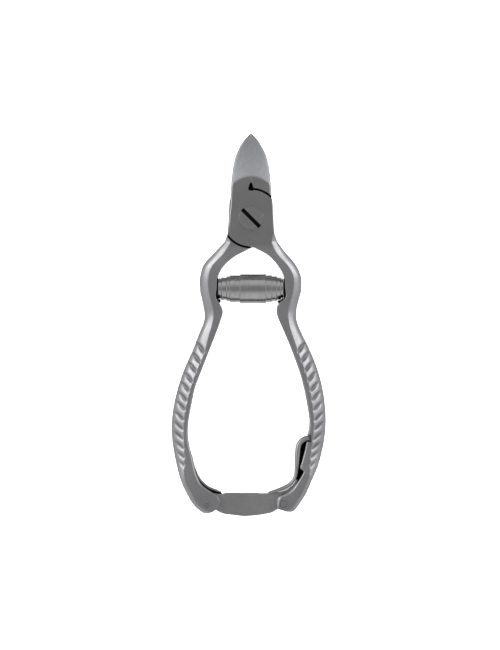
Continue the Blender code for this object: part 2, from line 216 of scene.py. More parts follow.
def prism(outline: Sequence[Point], low: float, high: float) -> bmesh.types.BMesh:
    """Flat outline pulled up between two heights.

    Args:
        outline: its corners in millimetres.
        low: its lower height.
        high: its upper height.

    Returns:
        The prism as a bmesh.
    """
    shape = bmesh.new()
    base = shape.faces.new([shape.verts.new((point[0] * MM, point[1] * MM, low * MM)) for point in outline])
    pulled = bmesh.ops.extrude_face_region(shape, geom=[base])
    upper = [item for item in pulled["geom"] if isinstance(item, bmesh.types.BMVert)]
    bmesh.ops.translate(shape, verts=upper, vec=(0, 0, (high - low) * MM))
    bmesh.ops.recalc_face_normals(shape, faces=shape.faces)
    return shape


def lathe(profile: Sequence[Point], steps: int) -> bmesh.types.BMesh:
    """Turned body about the Z axis.

    Args:
        profile: radius and height of each point in millimetres.
        steps: how many sides it has.

    Returns:
        The body as a bmesh.
    """
    shape = bmesh.new()
    points = [shape.verts.new((radius * MM, 0.0, height * MM)) for radius, height in profile]
    edges = [shape.edges.new(pair) for pair in zip(points, points[1:])]
    bmesh.ops.spin(shape, geom=points + edges, cent=(0, 0, 0), axis=(0, 0, 1), angle=math.tau, steps=steps,
                   use_merge=True)
    bmesh.ops.remove_doubles(shape, verts=shape.verts, dist=2 * WELD)
    bmesh.ops.recalc_face_normals(shape, faces=shape.faces)
    return shape


def rod(radius: float, low: float, high: float, steps: int) -> bmesh.types.BMesh:
    """Plain round bar about the Z axis between two heights, as a tool for a hole."""
    return lathe([(0, low), (radius, low), (radius, high), (0, high)], steps)


def soften(shape: bmesh.types.BMesh, edges: Sequence[bmesh.types.BMEdge], size: float,
           segments: int = 3) -> None:
    """Rounds edges of a bmesh.

    Args:
        shape: the bmesh.
        edges: its edges that are rounded.
        size: how far back the rounding starts, in millimetres.
        segments: how many faces it has.
    """
    bmesh.ops.bevel(shape, geom=list(edges), offset=size * MM, offset_type="OFFSET", affect="EDGES",
                    segments=segments, profile=0.5, material=-1, clamp_overlap=True)


def moved(shape: bmesh.types.BMesh, matrix: Matrix) -> bmesh.types.BMesh:
    """The same bmesh after a move, a turn or a change of size."""
    bmesh.ops.transform(shape, matrix=matrix, verts=shape.verts)
    return shape


def at(x: float, y: float, z: float) -> Matrix:
    """Move to a point in millimetres."""
    return Matrix.Translation(Vector((x, y, z)) * MM)


def turned_over() -> Matrix:
    """Half turn about the Y axis through the middle of the joint's thickness."""
    return at(0, 0, THICKNESS) @ Matrix.Rotation(math.pi, 4, "Y")


def joined(shapes: Sequence[bmesh.types.BMesh]) -> bmesh.types.BMesh:
    """Several bmeshes as one.

    Args:
        shapes: the bmeshes, which are freed.

    Returns:
        The bmesh that holds them all.
    """
    whole = bmesh.new()
    for shape in shapes:
        mesh = bpy.data.meshes.new("part")
        shape.to_mesh(mesh)
        shape.free()
        whole.from_mesh(mesh)
        bpy.data.meshes.remove(mesh)
    return whole


def to_object(name: str, shape: bmesh.types.BMesh, *materials: bpy.types.Material) -> bpy.types.Object:
    """Object at the origin that holds a bmesh.

    Args:
        name: its name.
        shape: the bmesh, which is freed.
        materials: its materials, in the order of their slots.

    Returns:
        The object, linked to the scene.
    """
    mesh = bpy.data.meshes.new(name)
    shape.to_mesh(mesh)
    shape.free()
    for material in materials:
        mesh.materials.append(material)
    item = bpy.data.objects.new(name, mesh)
    bpy.context.scene.collection.objects.link(item)
    return item


def cut(item: bpy.types.Object, tool: bmesh.types.BMesh, slot: int = 0, add: float = 0.0) -> None:
    """Takes a tool's shape away from a piece, or adds it, and removes the tool.

    Args:
        item: the piece, which has its materials already.
        tool: the shape, which is freed.
        slot: which of the piece's materials the new faces get.
        add: 0 to take the shape away.  1 adds it with the piece's first material on its underside, and -1 adds it
            with that material on its upper side.
    """
    for face in tool.faces:
        face.material_index = 0 if add * face.normal.z < -FACING else slot
    cutter = to_object(item.name + "_tool", tool)
    for material in item.data.materials:
        cutter.data.materials.append(material)
    boolean = item.modifiers.new("cut", "BOOLEAN")
    boolean.operation = "UNION" if add else "DIFFERENCE"
    boolean.solver = "EXACT"
    boolean.object = cutter
    graph = bpy.context.evaluated_depsgraph_get()
    result = bpy.data.meshes.new_from_object(item.evaluated_get(graph))
    item.modifiers.clear()
    old = item.data
    item.data = result
    bpy.data.meshes.remove(old)
    bpy.data.meshes.remove(cutter.data)
    result.name = item.name


def finish_piece(item: bpy.types.Object, body: str) -> bpy.types.Object:
    """Gives a piece smooth shading and its body, and hides its CAD node.

    Args:
        item: the piece, named as its node with "_finished".
        body: the body that it rides on, or an empty word for a piece that rides on none.

    Returns:
        The piece.
    """
    item.data.shade_smooth()
    item.data.set_sharp_from_angle(angle=SHARP_ANGLE)
    for face in item.data.polygons:
        face.use_smooth = abs(face.normal.z) < FLAT
    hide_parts(item.name.removesuffix("_finished"))
    if body:
        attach(item, body)
    LOG.info("%s: %d faces", item.name, len(item.data.polygons))
    return item


# ------------------------------------------------------------------ materials


def linear(code: str) -> tuple[float, float, float, float]:
    """Linear colour of an sRGB hex code.

    Args:
        code: six hex digits after a #.

    Returns:
        Red, green, blue and alpha.
    """
    parts = [int(code[index:index + 2], 16) / 255 for index in (1, 3, 5)]
    red, green, blue = [part / 12.92 if part <= 0.04045 else ((part + 0.055) / 1.055) ** 2.4
                        for part in parts]
    return red, green, blue, 1.0


def add_node(tree: bpy.types.NodeTree, kind: str, settings: Mapping[str, object] | None = None,
             inputs: Mapping[str | int, object] | None = None) -> bpy.types.Node:
    """Adds a node with its settings, values and links.

    Args:
        tree: the node tree.
        kind: the node's type, without ShaderNode.
        settings: its own settings by name.
        inputs: for each input socket, a value or the output socket that is linked to it.

    Returns:
        The node.
    """
    node = tree.nodes.new("ShaderNode" + kind)
    for name, value in (settings or {}).items():
        setattr(node, name, value)
    for name, value in (inputs or {}).items():
        if isinstance(value, bpy.types.NodeSocket):
            tree.links.new(value, node.inputs[name])
        else:
            node.inputs[name].default_value = value
    return node


@dataclass(frozen=True)
class Grain:
    """Surface of one steel: what is mixed into its colour, roughness and height."""

    light: str                  # lighter sRGB tone
    dark: str                   # darker sRGB tone
    lay: Lay
    pitch: float                # size of its marks in millimetres; turned rings are tau times as far apart
    roughness: float
    spread: float               # how much the roughness varies
    patch: float = 9.0          # size of its soft cloudy tone, in millimetres
    contrast: float = 0.6       # share of the marks in the tone, the rest is the clouds

    def scale(self) -> Vector:
        """How the pattern is squeezed along each axis, from its lay."""
        return Vector({Lay.LENGTHWISE: (1.0, 0.03, 1.0), Lay.ROUND_X: (1.0, 0.04, 0.04)}.get(
            self.lay, (1.0, 1.0, 1.0)))

    def sockets(self, tree: bpy.types.NodeTree, centre: Point) -> tuple[Socket, Socket, Socket]:
        """Adds the pattern's nodes.

        Args:
            tree: the node tree.
            centre: the point in millimetres that a turned pattern runs round.

        Returns:
            Sockets of colour, roughness and height.
        """
        coordinates = add_node(tree, "TexCoord").outputs["Object"]
        centred = add_node(tree, "Mapping", inputs={
            "Vector": coordinates, "Location": tuple(-value * MM for value in centre)}).outputs[0]
        squeezed = add_node(tree, "VectorMath", {"operation": "MULTIPLY"},
                            {0: centred, 1: tuple(self.scale())}).outputs[0]
        per_metre = 1 / (self.pitch * MM)
        if self.lay is Lay.RINGS_Z:
            marks = add_node(tree, "TexWave", {"wave_type": "RINGS", "rings_direction": "Z"}, {
                "Vector": squeezed, "Scale": per_metre / WAVE_RATE, "Distortion": 1.2, "Detail": 2.0,
                "Detail Scale": 3.0}).outputs["Fac"]
        else:
            marks = add_node(tree, "TexNoise", None, {
                "Vector": squeezed, "Scale": per_metre, "Detail": 3.0, "Roughness": 0.6}).outputs["Fac"]
        clouds = add_node(tree, "TexNoise", None, {
            "Vector": coordinates, "Scale": 1 / (self.patch * MM), "Detail": 2.0}).outputs["Fac"]
        tone = add_node(tree, "Mix", NUMBERS, {"Factor": self.contrast, 2: clouds, 3: marks}).outputs[0]
        wide = add_node(tree, "MapRange", None, {
            "Value": tone, "From Min": TONE_RANGE[0], "From Max": TONE_RANGE[1]}).outputs[0]
        colour = add_node(tree, "Mix", COLOURS, {
            "Factor": wide, 6: linear(self.dark), 7: linear(self.light)}).outputs[2]
        rough = add_node(tree, "MapRange", None, {
            "Value": marks, "From Min": MARK_RANGE[0], "From Max": MARK_RANGE[1],
            "To Min": self.roughness + self.spread, "To Max": self.roughness - self.spread}).outputs[0]
        return colour, rough, marks


@dataclass(frozen=True)
class Steel:
    """Stainless steel with one finish: a grey metal whose gloss comes from its fine marks."""

    name: str
    grain: Grain
    bump: float                 # height of its marks in millimetres
    centre: Point = (0.0, 0.0, 0.0)

    def blend(self, tree: bpy.types.NodeTree) -> tuple[Socket, Socket, Socket]:
        """Colour, roughness and height of the finish."""
        return self.grain.sockets(tree, self.centre)

    def material(self) -> bpy.types.Material:
        """The finish as a material."""
        material = bpy.data.materials.new(self.name)
        material.use_nodes = True
        tree = material.node_tree
        tree.nodes.clear()
        colour, rough, height = self.blend(tree)
        raised = add_node(tree, "Bump", None, {
            "Strength": 1.0, "Distance": self.bump * MM, "Height": height})
        shader = add_node(tree, "BsdfPrincipled", None, {
            "Base Color": colour, "Metallic": 1.0, "Roughness": rough, "Normal": raised.outputs[0]})
        add_node(tree, "OutputMaterial", None, {"Surface": shader.outputs[0]})
        return material


@dataclass(frozen=True)
class LeverSteel(Steel):
    """The levers' steel: tumbled handles with painted shade in their grooves, a lapped joint, and jaws ground
    lengthwise above an arc in a painted-light tone.
    """

    # The ground jaws: real lengthwise marks, in tones lighter and bluer than the handles' as painted light, the
    # sheen of faces that tilt towards the tip.
    blade_grind_and_sheen: Grain = Grain("#e6e8ec", "#ced1d7", Lay.LENGTHWISE, 0.5, 0.30, 0.03)
    lapped: Grain = Grain("#c0c0c1", "#adadae", Lay.TUMBLED, 0.45, 0.33, 0.02)
    grind_line: float = 15.1    # y of the arc in the middle
    grind_fade: Point = (-0.5, 0.6)     # where the ground jaws' painted-light tone starts and is full, from that arc
    joint_end: float = -9.5     # y where the lapped faces end
    joint_fade: float = 2.0     # over which they change to the handle's tone
    groove: str = "#747477"     # painted shade at the bottom of the grip grooves
    groove_depths: Point = (0.02, 0.2)  # where that painted shade starts and is full
    groove_share: float = 0.85

    def blend(self, tree: bpy.types.NodeTree) -> tuple[Socket, Socket, Socket]:
        """Colour, roughness and height, from handle to joint to jaw."""
        coordinates = add_node(tree, "TexCoord").outputs["Object"]
        axes = add_node(tree, "SeparateXYZ", None, {0: coordinates}).outputs
        squared = add_node(tree, "Math", {"operation": "MULTIPLY"}, {0: axes[0], 1: axes[0]}).outputs[0]
        fallen = add_node(tree, "Math", {"operation": "MULTIPLY_ADD"}, {
            0: squared, 1: GRIND_CROWN / MM, 2: axes[1]}).outputs[0]
        jaw = add_node(tree, "MapRange", SMOOTH, {
            "Value": fallen, "From Min": (self.grind_line + self.grind_fade[0]) * MM,
            "From Max": (self.grind_line + self.grind_fade[1]) * MM}).outputs[0]
        joint = add_node(tree, "MapRange", SMOOTH, {
            "Value": axes[1], "From Min": (self.joint_end - self.joint_fade) * MM,
            "From Max": self.joint_end * MM}).outputs[0]
        colour, *rest = self.grain.sockets(tree, self.centre)
        for mask, grain in ((joint, self.lapped), (jaw, self.blade_grind_and_sheen)):
            tone, *others = grain.sockets(tree, self.centre)
            colour = add_node(tree, "Mix", COLOURS, {"Factor": mask, 6: colour, 7: tone}).outputs[2]
            rest = [add_node(tree, "Mix", NUMBERS, {"Factor": mask, 2: below, 3: above}).outputs[0]
                    for below, above in zip(rest, others)]
        # Painted shade: darker the deeper a point lies in a grip groove.
        sunk = add_node(tree, "Attribute", {"attribute_name": RECESS}).outputs["Fac"]
        groove_shade = add_node(tree, "MapRange", SMOOTH, {
            "Value": sunk, "From Min": self.groove_depths[0], "From Max": self.groove_depths[1],
            "To Max": self.groove_share}).outputs[0]
        colour = add_node(tree, "Mix", COLOURS, {"Factor": groove_shade, 6: colour, 7: linear(self.groove)}).outputs[2]
        return colour, *rest


# The marks of tumbling, grinding, turning and rolling are about 0.1 mm apart on such steel.  All of them are drawn
# coarser than that, so that they show.

# Forged, tumbled in stone and satin-finished: an even soft grey without direction
FORGED = LeverSteel("tumbled_forged_stainless", Grain("#cdcdcf", "#b6b6b8", Lay.TUMBLED, 0.5, 0.35, 0.03), 0.012)
# The same steel as strip and plate: a shade lighter
STAMPED = Steel("tumbled_strip_stainless", Grain("#d2d2d3", "#bcbcbd", Lay.TUMBLED, 0.5, 0.36, 0.03), 0.012)
# Turned on a lathe: fine rings about its own axis
TURNED = Grain("#bdbdbe", "#b5b5b6", Lay.RINGS_Z, 0.35, 0.33, 0.01)
# The same, a shade lighter
RIVETED = Grain("#c8c8c9", "#bebebf", Lay.RINGS_Z, 0.35, 0.33, 0.01)
# Screw slot, lap grooves and relief, with the other cut recesses: cut rough, and painted near-black as the shade
# that falls in them
PAINTED_SHADE = Steel("painted_shade_recess_steel", Grain("#2c2b2a", "#141414", Lay.TUMBLED, 0.3, 0.6, 0.1), 0.02)
# Rolled strip, hardened: the smoothest and brightest, with drawn marks that run round the coil and faint clouds
ROLLED = Steel("rolled_spring_stainless", Grain("#d8d8d8", "#cacaca", Lay.ROUND_X, 0.8, 0.25, 0.02, 2.4, 0.3),
               0.0012)


# ------------------------------------------------------------------ levers


@dataclass(frozen=True)
class Flutes:
    """Row of slanting grip grooves in the rounded side of a handle."""

    count: int = 13
    first: float = -47.3        # y of the first groove
    pitch: float = 3.55         # y from each to the next
    share: float = 0.60         # place across the handle, from its inner edge
    steep: float = 56.0         # angle of the first groove to the X axis
    shallow: float = 41.0       # angle of the last
    half_length: float = 3.0
    half_width: float = 0.95
    depth: float = 0.38
    last_depth: float = 0.20    # they get shallower towards the handle's end
    end_fade: float = 0.7       # powers that say how quickly a groove runs out at its ends and its sides
    side_fade: float = 1.3
    middle_share: float = 0.78  # share of the depth in a groove's middle, and what its lower end has more
    lower_share: float = 0.3

    def lines(self, stations: Sequence[Point]) -> list[Groove]:
        """The grooves of a handle, from its upper end.

        Args:
            stations: the handle's rows.

        Returns:
            For each groove its middle, the direction in which it runs and its depth.
        """
        found = []
        for index in range(self.count):
            y = self.first - index * self.pitch
            row = min(stations, key=lambda item: abs((item[1] + item[3]) / 2 - y))
            middle = Vector(row[2:4]).lerp(Vector(row[0:2]), self.share)
            progress = index / (self.count - 1)
            angle = math.radians(self.steep + (self.shallow - self.steep) * progress)
            depth = self.depth + (self.last_depth - self.depth) * progress
            found.append((middle, Vector((-math.cos(angle), -math.sin(angle))), depth))
        return found

    def depth_at(self, place: Vector, lines: Sequence[Groove]) -> float:
        """How deep the grooves are at a place.

        Args:
            place: the place seen from the front.
            lines: the grooves' middles, directions and depths.

        Returns:
            The depth in millimetres.
        """
        deepest = 0.0
        for middle, direction, depth in lines:
            offset = place - middle
            if offset.length > self.half_length:
                continue
            along = offset.dot(direction) / self.half_length
            room = 1 - along * along
            across = abs(offset.x * direction.y - offset.y * direction.x)
            half_width = self.half_width * math.sqrt(max(room, 0.0))
            if across < half_width:
                fade = room ** self.end_fade * (self.middle_share + self.lower_share * along)
                deepest = max(deepest, depth * fade * (1 - (across / half_width) ** 2) ** self.side_fade)
        return deepest


@dataclass
class Lever:
    """Handle, half-thick joint plate and jaw in one forging, shaped in the front lever's place."""

    name: str
    body: str
    over: bool                  # turned over, as the rear lever is
    handle: Sequence[Point]     # outer x and y, inner x and y, half thickness, outer rounding
    slot: Sequence[Point]       # outline of the slot in its end
    shade_ledge: Sequence[Point]      # outline of a ledge behind the strip beside it, its upper side painted as the shade seen through the gap
    shade_ledge_span: Point           # the ledge's two heights, seen from the lever's own front
    pin: Point                  # centre and radius of the pin in its end
    spring_seat: Sequence[Point]        # outline of the seat that the spring's end lies against, its upper side painted as the shade beside that end
    notch: Sequence[Point] = ()         # outline of one more notch, open to the front
    notch_floor: float = 0.0
    flutes: Flutes = Flutes()
    # half the width against y, from the tip of the jaw, and then of the joint's outer and inner side
    jaw_edge: Sequence[Point] = ((30.95, 0.4), (29.9, 1.4), (28.4, 2.7), (25.9, 4.2), (22.5, 5.7), (18.5, 6.6),
                                 (14.0, 7.15), (10.3, 7.45))
    joint_edge: Sequence[Point] = ((10.3, 7.45), (6.5, 7.85), (2.4, 8.15), (-1.0, 8.3), (-5.6, 8.6))
    plate_edge: Sequence[Point] = ((10.3, 7.45), (6.5, 7.58), (4.2, 7.72), (2.4, 7.98), (-1.0, 8.2), (-6.3, 8.5))
    cheek_break: float = 0.8    # added to the rounding of the inner edge at its end
    seam: float = 0.012         # half the line between the closed jaws
    seam_slant: float = 0.02    # how far that line leans, per millimetre of height
    lap_gap: float = 0.75       # seen round the edge of each plate
    face_gap: float = 0.1       # between the two plates
    grind_start: float = 15.4
    grind_slope: float = 0.30
    grind_hollow: float = 0.006
    sharp: float = 0.03         # rounding of an edge that is left sharp
    edge_break: float = 0.4
    rim_break: float = 0.65     # along the plate's own edge and the jaw
    facet_from: float = 1.3     # roundings as large as this start with a long facet
    facet_slope: float = 0.34
    facet_run: float = 0.6      # its length as a share of the rounding, above the grip
    grip_run: float = 0.28      # and along the grip
    row_gap: float = 0.3        # handle sections are at least this far apart
    seat_half: float = 3.4      # half the width of the spring's seat
    peg_hole: float = 1.56
    peg_hole_reach: Point = (10.5, 20.5)
    slot_width: float = 3.2
    relief: Sequence[Point] = ((0.0, 13.2), (-0.45, 12.6), (-0.85, 11.6), (-1.05, 10.5), (-0.9, 10.25), (0.1, 10.0),
                               (0.9, 10.0), (0.85, 11.2), (0.45, 12.6))
    relief_depth: float = 3.4

    def ground(self, place: Vector) -> float:
        """How far the jaw's faces are ground below the joint's at a place."""
        distance = max(place.y - (self.grind_start - GRIND_CROWN * place.x ** 2), 0.0)
        return max(self.grind_slope * distance - self.grind_hollow * distance ** 2, 0.0)

    def outer_corner(self, half_width: float, half_height: float, size: Point, run: float) -> list[Point]:
        """Outer upper corner of a cross-section: an elliptical round, or a long facet where it is large.

        Args:
            half_width: half the section's width.
            half_height: half its height.
            size: width and height of the corner.
            run: length of the facet, as a share of the corner's width.

        Returns:
            Its points from the side to the top, as reach and height.
        """
        steps = 15
        edge = Vector((half_width, half_height - size[1]))
        ridge = Vector((half_width - size[0], half_height))
        upright = Vector((0, 0.7 * size[1]))
        slope = Vector((run, -run * self.facet_slope)) * size[0]
        facet = interpolate_bezier(edge, edge + upright, ridge + slope, ridge, steps + 1)
        share = smooth_step(size[0], self.edge_break, self.facet_from)
        corner = []
        for step, on_facet in enumerate(facet):
            angle = math.pi / 2 * step / steps
            on_arc = Vector((half_width - size[0] * (1 - math.cos(angle)),
                             half_height - size[1] * (1 - math.sin(angle))))
            corner.append(tuple(on_arc.lerp(on_facet.to_2d(), share)))
        return corner

    def ring(self, outer: Vector, inner: Vector, half_height: float, outer_size: Point, inner_size: float,
             lean: float = 0.0, lines: Sequence[Groove] = ()) -> list[Point]:
        """Cross-section of the lever.

        Args:
            outer: its outer edge point.
            inner: its inner edge point.
            half_height: half its thickness.
            outer_size: width and height of the outer rounding.
            inner_size: the inner rounding.
            lean: how far its outer side leans, per millimetre of height.
            lines: the grip grooves' middles, directions and depths.

        Returns:
            The points round it, each with its depth in a groove.
        """
        centre = (outer + inner) / 2
        across = (outer - inner).normalized()
        half_width = (outer - inner).length / 2
        outer_round = min(outer_size[0], 1.6 * half_width)
        inner_round = min(inner_size, 0.4 * half_width)
        inner_steps, face_steps = 5, 10
        run = self.facet_run - (self.facet_run - self.grip_run) * smooth_step(-centre.y, 40.0, 52.0)
        corner = self.outer_corner(half_width, half_height, (outer_round, outer_size[1]), run)
        inside = []
        for step in range(inner_steps + 1):
            angle = math.pi / 2 * (1 - step / inner_steps)
            inside.append((-half_width + inner_round * (1 - math.cos(angle)),
                           half_height - inner_round * (1 - math.sin(angle))))
        start, end = corner[-1][0], inside[0][0]
        face = [(start + (end - start) * step / face_steps, half_height) for step in range(1, face_steps)]
        top = corner + face + inside
        ridge = half_width - outer_round
        points = []
        for reach, height in top + [(reach, -height) for reach, height in reversed(top)]:
            place = centre + across * reach
            height *= (MID - self.ground(place)) / MID
            rounded = smooth_step(reach, ridge - 0.6, ridge + 0.2)
            sink = min(self.flutes.depth_at(place, lines), 0.6 * abs(height)) * rounded if lines else 0.0
            height -= math.copysign(sink, height)
            place.x += lean * height * smooth_step(reach, -half_width, half_width)
            points.append((place.x, place.y, MID + height, sink))
        return points

    def stations(self) -> list[Point]:
        """Rows of the handle, close enough together for its grooves."""
        steps = 20
        halves = [spline([row[part] for row in self.handle], steps) for part in (slice(0, 3), slice(3, 6))]
        rows = [(*first, *second) for first, second in zip(*halves)]
        kept = [rows[0]]
        for row in rows[1:-1]:
            last = kept[-1]
            if max(math.dist(row[0:2], last[0:2]), math.dist(row[2:4], last[2:4])) >= self.row_gap:
                kept.append(row)
        return kept + [rows[-1]]

    def forging(self) -> bmesh.types.BMesh:
        """Jaw, plate and handle before anything is cut out of them."""
        sharp = (self.sharp, self.sharp)
        broken = (self.edge_break, self.edge_break)
        rings = [self.ring(Vector((-self.seam, y)), Vector((-x, y)), MID, sharp, self.rim_break, self.seam_slant)
                 for y, x in spline(self.jaw_edge, 9)]
        outer_side = [Vector((x, y)) for y, x in spline(self.joint_edge, 6)]
        inner_side = [Vector((-x, y)) for y, x in spline(self.plate_edge, 6)]
        first = next(index for index, point in enumerate(outer_side) if point.length < LAP_RADIUS)
        corner = outer_side[first]
        top_arc = arc(LAP_RADIUS, 89.5, math.degrees(math.atan2(corner.y, corner.x)) + 0.5, 22)
        upper = resample(inner_side[:first + 1], len(top_arc) + 2)[1:-1]
        rings += [self.ring(outer, inner, MID, sharp, self.rim_break) for outer, inner in zip(top_arc, upper)]
        rings += [self.ring(outer, inner, MID, broken, self.rim_break)
                  for outer, inner in zip(outer_side[first:], inner_side[first:])]
        low_angle = 360 - math.degrees(math.acos(inner_side[-1].x / LAP_RADIUS))
        low_arc = arc(LAP_RADIUS, low_angle + 0.5, 265.0, 20)
        neck = resample([outer_side[-1], Vector(self.handle[0][:2])], len(low_arc) + 2)
        for index, (outer, inner) in enumerate(zip(neck[1:], low_arc)):
            share = (index + 1) / len(low_arc)
            size = self.edge_break + (self.handle[0][5] - self.edge_break) * share
            rings.append(self.ring(outer, inner, MID, (size, size * (1 - 0.2 * share)), self.sharp))
        stations = self.stations()
        lines = self.flutes.lines(stations)
        for outer_x, outer_y, inner_x, inner_y, half_height, rounding in stations:
            outer = Vector((outer_x, outer_y))
            inner = Vector((inner_x, inner_y))
            cheek = smooth_step(-inner_y, 96.0, 100.0)
            inner_size = min(0.2 + 0.3 * smooth_step(-inner_y, 40.0, 55.0) + self.cheek_break * cheek,
                             (outer - inner).length * 0.3)
            rise = min(half_height * 0.98, rounding * (0.8 + 0.4 * smooth_step(-outer_y, 8.0, 16.0)
                                                       - 0.36 * smooth_step(-outer_y, 40.0, 50.0)))
            rings.append(self.ring(outer, inner, half_height, (rounding, rise), inner_size, lines=lines))
        return swept(rings)

    def joint_tool(self) -> bmesh.types.BMesh:
        """What is turned out of the joint: the lap, the bore and the front lever's screw seat."""
        floor = MID + self.face_gap / 2
        wide = LAP_RADIUS + self.lap_gap
        bore = SCREW_SHANK + FIT
        profile = [(0, -1), (wide, -1), (wide, floor), (bore, floor)]
        if self.over:
            profile += [(bore, THICKNESS - 0.4), (bore + 0.4, THICKNESS), (bore + 0.4, THICKNESS + 1)]
        else:
            seat = SCREW_HEAD + 2 * FIT
            profile += [(bore, THICKNESS - SCREW_HEAD_DEPTH - FIT), (seat, THICKNESS - SCREW_HEAD_DEPTH - FIT),
                        (seat, THICKNESS + 1)]
        return lathe(profile + [(0, THICKNESS + 1)], 160)

    def build(self, steel: bpy.types.Material, dark: bpy.types.Material) -> bpy.types.Object:
        """Shapes the lever and puts it in its place.

        Args:
            steel: its finish.
            dark: the painted shade for its recesses, its spring seat and its ledge.

        Returns:
            The lever.
        """
        lever = to_object(self.name + "_finished", self.forging(), steel, dark)
        mirror = -1.0 if self.over else 1.0
        # The seat and the ledge come with painted shade on their upper sides: the dark beside the spring's end and
        # behind the strip.
        seat = prism(self.spring_seat, MID - self.seat_half, MID + self.seat_half)
        shade_ledge = prism([(mirror * x, y) for x, y in self.shade_ledge], *self.shade_ledge_span)
        cut(lever, joined([seat, shade_ledge]), 1, mirror)
        peg = moved(rod(self.peg_hole, *self.peg_hole_reach, 40),
                    at(0, SPRING_Y, MID) @ Matrix.Rotation(math.pi / 2, 4, "Y"))
        half = self.slot_width / 2
        tools = [peg, prism([(mirror * x, y) for x, y in self.slot], MID - half, MID + half)]
        if self.notch:
            tools.append(prism(self.notch, self.notch_floor, THICKNESS + 1))
        cut(lever, joined(tools))
        # The lap, the bore and the screw seat are painted shade where they are turned out.
        cut(lever, self.joint_tool(), 1)
        x, y, radius = self.pin
        hole = moved(rod(radius + FIT, -1, THICKNESS + 1, 48), at(mirror * x, y, 0))
        reliefs = [prism([(mirror * px, py) for px, py in self.relief], low, high)
                   for low, high in ((-1, self.relief_depth), (THICKNESS - self.relief_depth, THICKNESS + 1))]
        # The pin's hole and the two reliefs are painted shade too.
        cut(lever, joined([hole] + reliefs), 1)
        if self.over:
            lever.data.transform(turned_over())
        return lever


